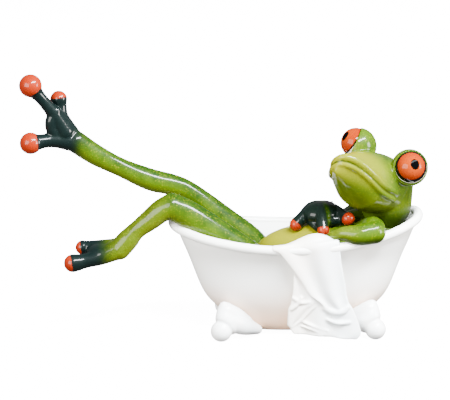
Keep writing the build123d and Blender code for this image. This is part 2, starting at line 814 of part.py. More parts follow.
def hanging_form():
    """The pleated length that hangs down outside the bathtub."""
    with BuildPart() as form:
        for height_share, left_share, right_share, out_share in hanging_shares:
            height = towel_hem_height + (rim_height - towel_hem_height) * height_share
            left, right = towel_x(left_share), towel_x(right_share)
            front = -towel_overhang * out_share
            back = front + towel_thickness
            step = (right - left) / pleats
            with BuildSketch(Plane.XY.offset(height)):
                with BuildLine():
                    for pleat in range(pleats):
                        start = left + step * pleat
                        sag = pleat_depth * (1 if pleat % 2 else -1)
                        ThreePointArc(
                            (start, front), (start + step / 2, front + sag), (start + step, front)
                        )
                    Polyline((right, front), (right, back), (left, back), (left, front))
                make_face()
        loft()
    return form.part


def bunched_form():
    """The gathered part that lies over the roll."""
    with BuildPart() as form:
        for across_share, top_share, breadth_share in bunch_shares:
            x = towel_x(across_share)
            with BuildSketch(Plane(Vector(x, 0, 0), x_dir=Vector(0, 1, 0), z_dir=Vector(1, 0, 0))):
                with Locations((-bunch_middle, roll_height(x))):
                    Ellipse(towel_width * breadth_share, towel_width * top_share)
        loft()
    return form.part


def layer_form(outline_shares, front, thickness):
    """A flat layer of the towel, cut to an outline and rounded at its front."""
    outline = [(towel_x(across), rim_height * up) for across, up in outline_shares]
    with BuildPart() as form:
        with BuildSketch(Plane.XZ.offset(front)):
            Polygon(*outline, align=None)
        extrude(amount=-thickness)
        fillet(form.faces().sort_by(Axis.Y)[0].edges(), towel_rounding)
    return form.part


with BuildPart() as towel:
    add(hanging_form())
    add(bunched_form())
    add(layer_form(flap_shares, towel_overhang + flap_thickness, flap_thickness + towel_rounding))
    add(layer_form(corner_shares, towel_overhang + corner_proud, towel_thickness))
    with BuildSketch(Plane.XZ.offset(towel_overhang + 2 * overrun)):
        with BuildLine():
            hem = [(towel_x(across), towel_hem_height + rim_height * up) for across, up in hem_shares]
            Polyline(*hem, (hem[-1][0], -overrun), (hem[0][0], -overrun), hem[0])
        make_face()
    extrude(amount=-tub_width, mode=Mode.SUBTRACT)
    add(tub_seat, mode=Mode.SUBTRACT)
    add(arm_form(-1, left_forearm_shares, glue_line), mode=Mode.SUBTRACT)
    add(left_hand_seat, mode=Mode.SUBTRACT)
    add(torso_seat, mode=Mode.SUBTRACT)
    for name, casting in tub_feet.items():
        if "front" in name:
            add(casting, mode=Mode.SUBTRACT)
towel_solid = largest(towel.part)

# The origin: the middle of the whole figurine's footprint, on the table
pieces = {
    "bathtub": bathtub.part,
    **tub_feet,
    "towel": towel_solid,
    "torso": torso.part,
    "head": head_solid,
    **eyes,
    "left_leg": left_leg,
    "right_leg": right_leg,
    "left_foot": left_foot,
    "right_foot": right_foot,
    "left_arm": left_arm,
    "right_arm": right_arm,
    "left_hand": left_hand.part,
    "right_hand": right_hand.part,
    "left_leg_wire": left_leg_wire,
    "right_leg_wire": right_leg_wire,
    **dowels,
}
bounds = Compound(children=[Compound([piece]) for piece in pieces.values()]).bounding_box()
to_origin = Pos(-bounds.center().X, -bounds.center().Y, -bounds.min.Z)

os.makedirs("parts", exist_ok=True)
for name, piece in pieces.items():
    placed_piece = to_origin * piece
    placed_piece.label = name
    export_step(placed_piece, f"parts/{name}.step")
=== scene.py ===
from math import cos, exp, pi, radians, sin

import bmesh
import bpy
from mathutils import Matrix, Vector


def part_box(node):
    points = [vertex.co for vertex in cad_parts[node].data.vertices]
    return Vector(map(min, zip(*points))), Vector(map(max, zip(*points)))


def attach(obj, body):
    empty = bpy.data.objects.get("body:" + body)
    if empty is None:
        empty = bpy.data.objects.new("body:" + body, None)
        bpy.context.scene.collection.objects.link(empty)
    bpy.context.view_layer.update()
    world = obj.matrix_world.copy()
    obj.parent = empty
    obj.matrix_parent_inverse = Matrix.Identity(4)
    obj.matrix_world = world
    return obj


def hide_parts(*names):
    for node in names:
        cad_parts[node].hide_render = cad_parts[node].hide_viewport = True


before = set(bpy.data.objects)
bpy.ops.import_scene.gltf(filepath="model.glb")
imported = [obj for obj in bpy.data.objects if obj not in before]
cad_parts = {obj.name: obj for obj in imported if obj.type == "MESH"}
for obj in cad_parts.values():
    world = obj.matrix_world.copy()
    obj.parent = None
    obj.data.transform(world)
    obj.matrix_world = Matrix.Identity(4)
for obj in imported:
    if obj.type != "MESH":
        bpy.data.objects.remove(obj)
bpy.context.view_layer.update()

# Camera and floor. The ornament is seen with a long lens from a little above the rim and
# a little to the left, on a plain white floor that carries on as the background.
tub_low, tub_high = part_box("bathtub")
tub_middle = Vector(((tub_low.x + tub_high.x) / 2, (tub_low.y + tub_high.y) / 2, 0))


def at(x, y, z):
    """A place given in millimetres from the middle of the bathtub, at the table."""
    return tub_middle + Vector((x, y, z)) / 1000


view_turn, view_height, view_distance = radians(-3), radians(15), 3.125
view_back = Vector((sin(view_turn) * cos(view_height), -cos(view_turn) * cos(view_height), sin(view_height)))
camera_data = bpy.data.cameras.new("camera")
camera_data.lens = 500
camera_data.clip_start = 0.01
camera = bpy.data.objects.new("camera", camera_data)
view_middle = at(-35.4, 0, 66.5)
camera.location = view_middle + view_back * view_distance
camera.rotation_mode = "QUATERNION"
camera.rotation_quaternion = (-view_back).to_track_quat("-Z", "Y")
bpy.context.scene.collection.objects.link(camera)
bpy.context.scene.camera = camera


class Shade:
    """One value inside a material. Arithmetic on it adds Math nodes."""

    def __init__(self, tree, socket):
        self.tree = tree
        self.socket = socket

    def node(self, kind, values, settings=None, output=0):
        """Adds a node: its settings first, then numbers, colours or links for its sockets."""
        made = self.tree.nodes.new(kind)
        for name, value in (settings or {}).items():
            setattr(made, name, value)
        for name, value in values.items():
            if isinstance(value, Shade):
                self.tree.links.new(value.socket, made.inputs[name])
            else:
                made.inputs[name].default_value = value
        return Shade(self.tree, made.outputs[output])

    def math(self, operation, first, second):
        """A Math node on two values, each a number or another value."""
        return self.node("ShaderNodeMath", {0: first, 1: second}, {"operation": operation})

    def __add__(self, other):
        return self.math("ADD", self, other)

    def __sub__(self, other):
        return self.math("SUBTRACT", self, other)

    def __mul__(self, other):
        return self.math("MULTIPLY", self, other)

    def __rsub__(self, other):
        return self.math("SUBTRACT", other, self)

    def __truediv__(self, other):
        return self.math("DIVIDE", self, other)

    __radd__ = __add__
    __rmul__ = __mul__

    def between(self, low, high):
        """0 below the low value, 1 above the high one, and smooth between them."""
        values = {"Value": self, "From Min": low, "From Max": high}
        return self.node("ShaderNodeMapRange", values, {"interpolation_type": "SMOOTHSTEP"})

    def blend(self, first, second):
        """The first colour where this value is 0, and the second where it is 1."""
        values = {0: self, 6: first, 7: second}
        return self.node("ShaderNodeMix", values, {"data_type": "RGBA"}, output=2)

    def noise(self, size_mm, detail=2.0, rough=0.5):
        """Cloudy variation of a size in millimetres over the piece."""
        values = {"Vector": self, "Scale": 1000 / size_mm, "Detail": detail, "Roughness": rough}
        return self.node("ShaderNodeTexNoise", values)

    def bump(self, strength, depth_mm):
        """A normal that follows this value as a height."""
        values = {"Strength": strength, "Distance": depth_mm / 1000, "Height": self}
        return self.node("ShaderNodeBump", values)


def new_finish(name, **sockets):
    """A material, its shader with the given fixed sockets, and the place on the piece."""
    material = bpy.data.materials.new(name)
    material.use_nodes = True
    tree = material.node_tree
    shader = tree.nodes["Principled BSDF"]
    for socket, value in sockets.items():
        shader.inputs[socket.replace("_", " ")].default_value = value
    place = Shade(tree, tree.nodes.new("ShaderNodeTexCoord").outputs["Object"])
    return material, shader, place


def feed(shader, socket, value):
    """Joins a value to one of the shader's sockets."""
    value.tree.links.new(value.socket, shader.inputs[socket])


floor_mesh = bmesh.new()
bmesh.ops.create_grid(floor_mesh, x_segments=1, y_segments=1, size=6)
floor_data = bpy.data.meshes.new("floor")
floor_mesh.to_mesh(floor_data)
floor = bpy.data.objects.new("floor", floor_data)
floor.location = (0, 3, 0)
bpy.context.scene.collection.objects.link(floor)
floor_finish, floor_shader, floor_place = new_finish("floor_white", Roughness=0.9)
floor_white, floor_bright = (0.9, 0.9, 0.9, 1), (0.92, 0.92, 0.92, 1)
floor_cloud = floor_place.noise(400).between(0, 1)
feed(floor_shader, "Base Color", floor_cloud.blend(floor_white, floor_bright))
floor_shader.inputs["Emission Color"].default_value = (1, 1, 1, 1)
floor_shader.inputs["Emission Strength"].default_value = 14.0
floor_data.materials.append(floor_finish)
floor.visible_diffuse = False
floor.visible_glossy = False

# Light: a long narrow strip above and in front that draws the gloss lines, a broad soft
# sheet at the left, a small one at the right, and a pale room all round.


def softbox(name, place, aim, width, height, power, colour):
    """A rectangular soft light that faces a point."""
    data = bpy.data.lights.new(name, "AREA")
    data.shape = "RECTANGLE"
    data.size = width
    data.size_y = height
    data.energy = power
    data.color = colour
    light = bpy.data.objects.new(name, data)
    light.location = place
    light.rotation_mode = "QUATERNION"
    light.rotation_quaternion = (Vector(aim) - Vector(place)).to_track_quat("-Z", "Y")
    bpy.context.scene.collection.objects.link(light)


softbox(
    "light_key", place=(0.27, -0.34, 0.62), aim=(0, 0, 0.05),
    width=0.60, height=0.10, power=56, colour=(0.90, 0.96, 1.0),
)
softbox(
    "light_left", place=(-0.9, -0.9, 0.5), aim=(0, 0, 0.06),
    width=1.0, height=0.8, power=60, colour=(1.0, 0.985, 0.95),
)
softbox(
    "light_right", place=(0.9, -0.33, 0.26), aim=(0, 0, 0.06),
    width=0.3, height=0.4, power=26, colour=(1.0, 0.97, 0.94),
)
world = bpy.data.worlds.new("room")
world.use_nodes = True
world.node_tree.nodes["Background"].inputs["Color"].default_value = (0.97, 0.98, 1.0, 1)
world.node_tree.nodes["Background"].inputs["Strength"].default_value = 0.43
bpy.context.scene.world = world

# Bathtub: one resin casting with a rolled rim, painted off-white and lacquered. A warm
# reflection from below is painted into its colour, growing warmer towards the floor.
tub_gloss = {"Roughness": 0.32, "Coat_Weight": 0.25, "Coat_Roughness": 0.2}
painted_warm_reflection, off_white, cloud_white = (0.90, 0.57, 0.37, 1), (0.96, 0.95, 0.91, 1), (0.92, 0.88, 0.83, 1)
tub_finish, tub_shader, tub_place = new_finish("tub_white", **tub_gloss)
tub_height = tub_place.node("ShaderNodeSeparateXYZ", {0: tub_place}, output=2)
# painted warm reflection: the off-white turns warm towards the floor
tub_white_and_warm_reflection = tub_height.between(0.004, 0.032).blend(painted_warm_reflection, off_white)
tub_cloud = tub_place.noise(9, 3).between(0.4, 0.8) * 0.12
feed(tub_shader, "Base Color", tub_cloud.blend(tub_white_and_warm_reflection, cloud_white))
feed(tub_shader, "Normal", tub_place.noise(6, 2).bump(0.15, 0.15))
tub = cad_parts["bathtub"]
tub.data.materials.clear()
tub.data.materials.append(tub_finish)

# Bathtub feet: four resin castings, each a leaf-shaped bracket under the bathtub that
# sits on a ball, glued on and painted white. A casting starts as rings bridged along
# lines, and is then fused and smoothed like clay.


def smooth_line(stations, steps=6):
    """Adds stations between (x, y, z, radius) ones so that they run in a curve."""
    rows = [Vector(station) for station in stations]
    rows = [rows[0] * 2 - rows[1], *rows, rows[-1] * 2 - rows[-2]]
    line = []
    for before, start, end, after in zip(rows, rows[1:], rows[2:], rows[3:]):
        slope = end - before
        curve = 2 * before - 5 * start + 4 * end - after
        twist = 3 * start - 3 * end + after - before
        for number in range(steps):
            share = number / steps
            line.append((2 * start + slope * share + curve * share * share + twist * share**3) / 2)
    return line + [rows[-2]]


def add_ball(clay, x, y, z, radius, stretch=(1, 1, 1)):
    """A ball at a place in millimetres, which may be stretched."""
    place = Matrix.Translation(at(x, y, z)) @ Matrix.Diagonal((*stretch, 1))
    bmesh.ops.create_uvsphere(clay, u_segments=32, v_segments=20, radius=radius / 1000, matrix=place)


def add_ring(clay, last_ring, closed, segments, radius, place):
    """A circle of edges, bridged to the last one. A closed ring gets a face."""
    made = bmesh.ops.create_circle(clay, cap_ends=closed, segments=segments, radius=radius, matrix=place)
    ring = list({edge for vert in made["verts"] for edge in vert.link_edges})
    if last_ring:
        bmesh.ops.bridge_loops(clay, edges=last_ring + ring)
    return ring


def add_limb(clay, stations, steps=6, sides=28):
    """Rings bridged along a line of (x, y, z, radius), with a ball at each end."""
    line = smooth_line(stations, steps)
    places = [at(*row[:3]) for row in line]
    across = Vector((0, 1, 0))
    ring = None
    for number, row in enumerate(line):
        ahead = (places[min(number + 1, len(line) - 1)] - places[max(number - 1, 0)]).normalized()
        across = (across - ahead * across.dot(ahead)).normalized()
        side = ahead.cross(across)
        turn = Matrix((across, side, ahead)).transposed().to_4x4()
        at_end = number in (0, len(line) - 1)
        ring = add_ring(clay, ring, at_end, sides, row[3] / 1000, Matrix.Translation(places[number]) @ turn)
    for row in (line[0], line[-1]):
        add_ball(clay, *row[:3], row[3])


def fuse(clay, grain, passes):
    """Fuses overlapping forms into one skin of a grain in millimetres, and smooths it."""
    data = bpy.data.meshes.new("clay")
    bmesh.ops.recalc_face_normals(clay, faces=clay.faces)
    clay.to_mesh(data)
    clay.free()
    lump = bpy.data.objects.new("clay", data)
    bpy.context.scene.collection.objects.link(lump)
    remesh = lump.modifiers.new("fuse", "REMESH")
    remesh.mode = "VOXEL"
    remesh.voxel_size = grain / 1000
    smooth = lump.modifiers.new("smooth", "SMOOTH")
    smooth.factor = 0.5
    smooth.iterations = passes
    depsgraph = bpy.context.evaluated_depsgraph_get()
    fused = bpy.data.meshes.new_from_object(lump.evaluated_get(depsgraph))
    bpy.data.objects.remove(lump)
    skin = bmesh.new()
    skin.from_mesh(fused)
    bpy.data.meshes.remove(fused)
    return skin


def finish_piece(name, form, finish, nodes, tints=None):
    """Makes a bmesh the named piece, tints its points, and ties it to the frame."""
    data = bpy.data.meshes.new(name)
    form.to_mesh(data)
    form.free()
    data.shade_smooth()
    data.materials.append(finish)
    for tint, rule in (tints or {}).items():
        values = data.attributes.new(tint, "FLOAT", "POINT").data
        for vertex, value in zip(data.vertices, values):
            value.value = rule((vertex.co - tub_middle) * 1000, vertex.normal)
    piece = bpy.data.objects.new(name, data)
    bpy.context.scene.collection.objects.link(piece)
    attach(piece, "root")
    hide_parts(*nodes)


foot_finish, foot_shader, foot_place = new_finish("tub_foot_white", **tub_gloss)
foot_white, foot_cream = (0.92, 0.94, 0.94, 1), (0.92, 0.89, 0.86, 1)
foot_cloud = foot_place.noise(5, 3).between(0.3, 0.8)
feed(foot_shader, "Base Color", foot_cloud.blend(foot_white, foot_cream))
bracket_lines = (
    [(36.8, 20.6, 16.6, 3.0), (36.8, 21.2, 14.2, 4.2), (36.4, 22.0, 11, 5.2), (36.0, 22.2, 7.5, 5.8)],
    [(36, 20.6, 14.5, 4.6), (31, 19.6, 11.4, 4.6), (26.2, 18, 8.0, 3.8)],
    [
        (35.5, 21.8, 9.5, 5.6), (31.5, 20.6, 8.6, 5.4), (27.5, 19.2, 6.6, 4.8), (23.5, 17.4, 4.9, 3.8),
        (20.0, 15.8, 3.6, 2.6),
    ],
)
foot_ball_x, foot_ball_z, foot_ball_radius = 38.6, 5.3, 5.7
# a shallow groove runs round the ball where the bracket meets it
groove_radius, groove_width, groove_depth = 6.0, 0.35, 0.6
# each foot's sides, how far it stands in along the bathtub, and how far its ball stands out
for foot_name, x_side, y_side, inset, ball_reach in (
    ("front_left", -1, -1, 0, 24.5), ("front_right", 1, -1, 0, 24.5),
    ("back_left", -1, 1, 4.5, 24), ("back_right", 1, 1, 4.5, 24),
):
    foot = bmesh.new()
    for stations in bracket_lines:
        add_limb(foot, [(x_side * (x - inset), y_side * y, z, radius) for x, y, z, radius in stations])
    ball_middle = Vector((x_side * (foot_ball_x - inset), y_side * ball_reach, foot_ball_z))
    add_ball(foot, *ball_middle, foot_ball_radius)
    foot_skin = fuse(foot, grain=0.6, passes=10)
    for vert in foot_skin.verts:
        place = (vert.co - tub_middle) * 1000
        off_groove = (place - ball_middle).length - groove_radius
        vert.co -= vert.normal * exp(-(off_groove**2) / groove_width) * groove_depth / 1000
        vert.co.z = max(vert.co.z, 0)
    finish_piece(
        f"tub_{foot_name}_foot_casting", foot_skin, foot_finish, [f"tub_foot_{foot_name}"]
    )

# Frog's body: a plump resin casting that lies back in the bathtub, glued in. The skin is
# airbrushed: yellow-green below, leaf green on top, near-black teal on hands and feet,
# with yellow speckles and orange pads under a clear gloss lacquer. Shade low in the
# bathtub, under the arm and at the nape, and a highlight on the belly, are painted in too.


def step(value, low, high):
    """0 below the low value, 1 above the high one, and smooth between them."""
    share = min(1, max(0, (value - low) / (high - low)))
    return share * share * (3 - 2 * share)


skin_finish, skin_shader, skin_place = new_finish(
    "frog_skin", Specular_IOR_Level=0.05, Coat_Roughness=0.09, Coat_IOR=1.4
)


def tint_of(name):
    """How much of a paint, or of painted shade, the skin has, as its pieces carry it on their points."""
    return skin_place.node("ShaderNodeAttribute", {}, {"attribute_name": name}, output=2)


leaf_green = (0.032, 0.064, 0.0, 1)
dark_green = (0.004, 0.020, 0.0, 1)
snout_yellow = (0.15, 0.148, 0.0, 1)
speckle_yellow = (0.12, 0.13, 0.0, 1)
shadow_green = (0.006, 0.012, 0.0, 1)
olive_edge = (0.004, 0.012, 0.001, 1)
dark_teal = (0.0012, 0.0040, 0.0036, 1)
mouth_green = (0.03, 0.042, 0.0, 1)
pad_orange = (0.17, 0.010, 0.0, 1)
mottle = skin_place.noise(7, 4, 0.6)
speckle = skin_place.noise(0.9, 2).between(0.56, 0.72)
# each coat, of paint or of painted shade, is laid over the ones before it
paint = (tint_of("dark") + (mottle - 0.5) * 1.5).between(0.0, 1.0).blend(leaf_green, dark_green)
paint = tint_of("yellow").blend(paint, snout_yellow)
paint = (speckle * 0.55).blend(paint, speckle_yellow)
# painted shade: shadow green where a piece carries shadow, low in the bathtub, under the arm and at the nape
paint = tint_of("shadow").blend(paint, shadow_green)
teal = tint_of("teal") + (mottle - 0.5) * 0.2
paint = teal.between(0.0, 0.9).blend(paint, olive_edge)
paint = teal.between(0.5, 1.0).blend(paint, dark_teal)
paint = tint_of("crease").between(0.2, 0.9).blend(paint, mouth_green)
pad = tint_of("pad") + (skin_place.noise(1.6) - 0.5) * 0.5
paint = pad.between(-0.1, 0.1).blend(paint, pad_orange)
feed(skin_shader, "Base Color", paint)
shine = 1 - tint_of("shadow") * 6
feed(skin_shader, "Coat Weight", shine.math("MAXIMUM", shine, 0.1) * 0.42)
feed(skin_shader, "Roughness", skin_place.noise(3, 2).between(0, 1) * 0.2 + 0.35)
feed(skin_shader, "Normal", skin_place.noise(2.2, 2).bump(0.12, 0.12))


def no_tint(place, normal):
    """For a piece that one of the paints leaves out."""
    return 0


outside_pads = -9


def no_pad(place, normal):
    """For a piece that has no pads: far outside their paint, in millimetres."""
    return outside_pads


# yellow belly paint, made stronger where the belly faces up as a painted highlight
def belly_yellow_and_highlight(place, normal):
    return 1.5 * step(normal.z, 0.2, 0.9) * (1 - step(place.x, 8, 20))


def body_shadow(place, normal):
    return 0.6 * max(1 - step(place.z, 38, 50), step(place.x, 22, 34))


body_lean = radians(60)
body = bmesh.new()
# along the bathtub, up, half depth and half width
body_stations = [
    (-24, 20.5, 3.2, 3.2), (-21, 22, 9, 10), (-11, 23.5, 20.3, 15.5), (0, 28.5, 23.6, 17.8),
    (13, 34, 22.4, 18), (25, 41, 18.2, 17.5), (36, 45.5, 14.2, 16), (44.5, 49.5, 10.2, 13),
    (50, 53.5, 6, 9),
]
ring = None
for x, z, deep, wide in smooth_line(body_stations):
    place = Matrix.Translation(at(x, 0, z)) @ Matrix.Rotation(body_lean, 4, "Y")
    place = place @ Matrix.Diagonal((deep / 1000, wide / 1000, 1, 1))
    ring = add_ring(body, ring, closed=ring is None, segments=48, radius=1, place=place)
bmesh.ops.contextual_create(body, geom=ring)
# the chest, on which the neck stands
add_ball(body, x=32, y=1, z=49.5, radius=11, stretch=(1.2, 1.1, 1.0))
body_skin = fuse(body, grain=0.8, passes=16)
finish_piece(
    "body_casting", body_skin, skin_finish, ["torso"],
    {
        "dark": no_tint, "yellow": belly_yellow_and_highlight, "teal": no_tint, "pad": no_pad, "shadow": body_shadow,
        "crease": no_tint,
    },
)

# Head and neck: one resin casting, doweled to the body, with a flat snout, a wide mouth
# between rolled lips and two mounds whose fronts are cut flat as lids round the eyes.
head_middle = Vector((44.1, 0, 87.8))
head_up = Vector((0.314, 0.112, 0.943)).normalized()
head_ahead = Vector((-0.664, -0.684, 0.302))
head_ahead = (head_ahead - head_up * head_ahead.dot(head_up)).normalized()
head_left = head_up.cross(head_ahead)


def in_head(ahead, left, high):
    """A place in millimetres, given forward, to the frog's left and up between the eyes."""
    return head_middle + head_ahead * ahead + head_left * left + head_up * high


def head_share(place):
    """The same three distances of a place."""
    away = place - head_middle
    return away.dot(head_ahead), away.dot(head_left), away.dot(head_up)


head_clay = bmesh.new()
# forward, middle, half width, and the levels of skull, near mouth, far mouth and throat
head_stations = [
    (-18.6, 0, 5.4, -8.1, -12.2, -12.2, -16.2), (-15.7, 0, 11.9, -4.1, -13.3, -13.3, -22.0),
    (-10.1, 0, 15.5, -0.9, -14.8, -14.8, -26.1), (-3.0, 0, 17.5, 0.8, -15.8, -15.8, -28.0),
    (5.0, 0.2, 17.8, 1.0, -15.4, -15.9, -29.0), (14.0, 1.0, 16.0, 0.0, -13.2, -15.2, -27.6),
    (22.0, 1.8, 12.8, -1.6, -9.4, -14.3, -22.6), (29.0, 2.3, 8.9, -2.4, -6.2, -13.0, -17.8),
    (34.5, 2.25, 4.6, -3.4, -4.9, -10.5, -14.0), (37.0, 2.2, 1.4, -5.2, -6.0, -8.0, -12.0),
]
# how square the skull and the jaw are, and how far the jaw stands in below the skull
crown_power, jaw_power, jaw_inset = 2 / 2.5, 2 / 2.1, 0.6
last_ring = None
head_line = []
rings_each = 3
for start, end in zip(head_stations, head_stations[1:]):
    for part in range(rings_each):
        head_line.append([one + (two - one) * part / rings_each for one, two in zip(start, end)])
for ahead, middle, half, crown, near_mouth, far_mouth, throat in head_line + [head_stations[-1]]:
    is_last = ahead == head_stations[-1][0]
    at_end = last_ring is None or is_last
    made = bmesh.ops.create_circle(head_clay, cap_ends=at_end, segments=64, radius=1)
    for vert in made["verts"]:
        across, high = vert.co.x, vert.co.y
        power = crown_power if high > 0 else jaw_power
        width = half if high > 0 else half - min(jaw_inset, half / 2)
        left = middle + width * abs(across) ** power * (1 if across > 0 else -1)
        mouth = far_mouth + (near_mouth - far_mouth) * (1 + across) / 2
        level = (crown - mouth) * high**power if high > 0 else (throat - mouth) * (-high) ** power
        vert.co = at(*in_head(ahead, left, mouth + level))
    ring = list({edge for vert in made["verts"] for edge in vert.link_edges})
    if last_ring:
        bmesh.ops.bridge_loops(head_clay, edges=last_ring + ring)
    last_ring = ring
# the two lips follow the mouth from the near corner round the snout to the far one
mouth_line = [
    (2.0, 18.2, -16.4), (5.0, 18.0, -15.4), (9.5, 17.6, -14.5), (14.0, 17.0, -13.2), (18.0, 15.9, -11.3),
    (22.0, 14.6, -9.3), (25.5, 13.0, -7.6), (29.0, 11.2, -6.1), (32.0, 9.2, -5.1), (34.5, 6.8, -4.7),
    (36.3, 4.2, -5.0), (36.9, 1.6, -6.6), (36.2, -1.0, -9.0), (34.0, -3.0, -11.0), (30.0, -5.8, -13.0),
    (25.0, -9.2, -14.0), (20.0, -12.2, -14.5), (12.0, -15.5, -15.3), (4.0, -17.5, -16.2),
]


mouth_middle_ahead, mouth_middle_left = 10, 1.5


def add_lip(lift, inset, thick):
    """A lip: a roll along the mouth, lifted and drawn in from it, thinner at its ends."""
    stations = []
    for number, (ahead, left, high) in enumerate(mouth_line):
        outward = Vector((ahead - mouth_middle_ahead, left - mouth_middle_left, 0)).normalized() * inset
        end = min(number, len(mouth_line) - 1 - number)
        radius = thick * min(1, 0.55 + 0.2 * end)
        stations.append((*in_head(ahead - outward.x, left - outward.y, high + lift), radius))
    add_limb(head_clay, stations, steps=5, sides=16)


add_lip(lift=1.9, inset=1.3, thick=2.0)
add_lip(lift=-1.7, inset=1.3, thick=1.7)
mound_radius, mound_reach = 9.3, 17.5
gaze_ahead, gaze_aside, gaze_up = 0.66, 0.74, 0.14
# the side of the head, and how far in front of the mound's middle its lid is cut
eye_sides = {"left_eye": (1, 2.9), "right_eye": (-1, 2.6)}
gazes = {}
mounds = {}
for eye, (side, lid) in eye_sides.items():
    gaze = head_ahead * gaze_ahead + head_left * (side * gaze_aside) + head_up * gaze_up
    gazes[eye] = gaze.normalized()
    mounds[eye] = in_head(0, side * mound_reach, 0)
    add_ball(head_clay, *mounds[eye], mound_radius)
neck_line = [(41, 0, 50, 11.2), (43.3, 0, 55.9, 11.2), (46, -0.4, 63.2, 11.9), (46.4, -1.1, 72, 12.4)]
add_limb(head_clay, neck_line)
head_skin = fuse(head_clay, grain=0.5, passes=7)
for vert in head_skin.verts:
    place = (vert.co - tub_middle) * 1000
    for eye, (side, lid) in eye_sides.items():
        away = place - mounds[eye]
        proud = away.dot(gazes[eye]) - lid
        if proud > 0 and (away - gazes[eye] * (proud + lid)).length < mound_radius:
            vert.co -= gazes[eye] * (proud / 1000)


def mouth_gap(place):
    """How far a place lies from the line between the lips."""
    here = Vector(head_share(place))
    nearest = 99
    for start, end in zip(mouth_line, mouth_line[1:]):
        start, ahead = Vector(start), Vector(end) - Vector(start)
        along = max(0, min(1, (here - start).dot(ahead) / ahead.length_squared))
        nearest = min(nearest, (here - start - ahead * along).length)
    return nearest


# the snout and the throat are yellow, the crown and the near cheek dark, the nape shaded
def head_yellow(place, normal):
    ahead, left, high = head_share(place)
    snout = step(ahead, 4, 22) * step(high, -20, -8) * (1 - step(left, -4, 12) * 0.5)
    throat = 0.3 * (1 - step(high, -26, -12)) * step(place.z, 58, 70)
    return min(1, max(1.15 * snout, throat))


def head_dark(place, normal):
    ahead, left, high = head_share(place)
    return 0.55 * step(high, -6, 4) + 0.25 * step(left, 4, 16) - 0.2


def head_shadow(place, normal):
    ahead, left, high = head_share(place)
    throat = 1 - step(high, -26, -14)
    nape = (1 - step(place.z, 57, 69)) * step(place.x, 32, 42)
    return 0.08 * throat + 0.9 * nape


def mouth_crease(place, normal):
    return 1 - step(mouth_gap(place), 0.3, 0.9)


finish_piece(
    "head_casting", head_skin, skin_finish, ["head"],
    {
        "dark": head_dark, "yellow": head_yellow, "shadow": head_shadow, "teal": no_tint, "pad": no_pad,
        "crease": mouth_crease,
    },
)

# Eyes: hard glossy balls glued into the mounds, painted with an orange iris, a black
# ring, a black pupil and a cream white, which is partly a painted highlight along the lid's edge.
iris_orange, iris_bright = (0.15, 0.012, 0.0, 1), (0.19, 0.022, 0.0, 1)
ring_black, pupil_black = (0.001, 0.001, 0.001, 1), (0.0008, 0.0008, 0.001, 1)
cream_white_and_highlight = (0.75, 0.72, 0.58, 1)


def eye_piece(name, node_name, radius, centre, iris_axis, iris_angle, ring_angle, pupil_axis, pupil_size):
    """An eye of a radius in millimetres, with its iris and black ring given as angles."""
    finish, shader, place = new_finish(
        name + "_paint", Roughness=0.3, Specular_IOR_Level=0.0, Coat_Roughness=0.04, Coat_IOR=1.4
    )
    middle = at(*centre)
    look = place.node("ShaderNodeVectorMath", {0: place, 1: middle}, {"operation": "SUBTRACT"})
    look = look.node("ShaderNodeVectorMath", {0: look}, {"operation": "NORMALIZE"})

    def facing(axis):
        values = {0: look, 1: Vector(axis).normalized()}
        return look.node("ShaderNodeVectorMath", values, {"operation": "DOT_PRODUCT"}, output=1)

    iris = facing(iris_axis)
    edge = cos(radians(iris_angle))
    rim = cos(radians(iris_angle + ring_angle))
    pupil_axis = Vector(pupil_axis).normalized()
    across = pupil_axis.cross(Vector((0, 0, 1))).normalized()
    lift = across.cross(pupil_axis)
    off_across = facing(across) / (pupil_size[0] / radius)
    off_lift = facing(lift) / (pupil_size[1] / radius)
    behind = facing(pupil_axis).between(0, 0.02) * -9 + 9
    away = off_across * off_across + off_lift * off_lift + behind
    colour = iris.between(edge, 1.0).blend(iris_orange, iris_bright)
    colour = iris.between(edge - 0.01, edge + 0.01).blend(ring_black, colour)
    # a cream ring beyond the black one: partly the eye's white, partly a painted highlight along the lid's
    # edge
    colour = iris.between(rim - 0.01, rim + 0.01).blend(cream_white_and_highlight, colour)
    colour = away.between(0.9, 1.1).blend(pupil_black, colour)
    feed(shader, "Base Color", colour)
    feed(shader, "Coat Weight", away.between(1.0, 1.8) * 0.3 + 0.03)
    ball = bmesh.new()
    matrix = Matrix.Translation(middle)
    bmesh.ops.create_uvsphere(ball, u_segments=64, v_segments=48, radius=radius / 1000, matrix=matrix)
    finish_piece(name, ball, finish, [node_name])


eye_piece(
    "left_eyeball", "left_eye", radius=8.0, centre=(56.36, -14.64, 85.97),
    iris_axis=(0.0, -0.927, 0.372), iris_angle=58, ring_angle=22,
    pupil_axis=(0.210, -0.879, 0.4265), pupil_size=(2.2, 2.7),
)
eye_piece(
    "right_eyeball", "right_eye", radius=7.6, centre=(30.9, 12.6, 91.9),
    iris_axis=(-0.83, -0.02, 0.56), iris_angle=72, ring_angle=7,
    pupil_axis=(-0.74, -0.34, 0.58), pupil_size=(1.8, 2.6),
)

# Legs and feet: each leg and each foot is a resin casting on a bent wire, glued at the
# ankle, with three toes that end in round orange pads. The far leg is stretched up, and
# the near one hangs over the bathtub's end at the knee.


def cut_in_two(skin, place, along):
    """Two closed bodies on the two sides of a plane, with a sharp edge at the joint."""
    bodies = []
    for far_side in (False, True):
        body = skin.copy()
        geometry = body.verts[:] + body.edges[:] + body.faces[:]
        cut = bmesh.ops.bisect_plane(
            body, geom=geometry, plane_co=place, plane_no=along,
            clear_outer=not far_side, clear_inner=far_side,
        )
        edges = [item for item in cut["geom_cut"] if isinstance(item, bmesh.types.BMEdge)]
        bmesh.ops.holes_fill(body, edges=edges, sides=0)
        for edge in edges:
            edge.smooth = False
        bodies.append(body)
    skin.free()
    return bodies


pad_reach = 1.3


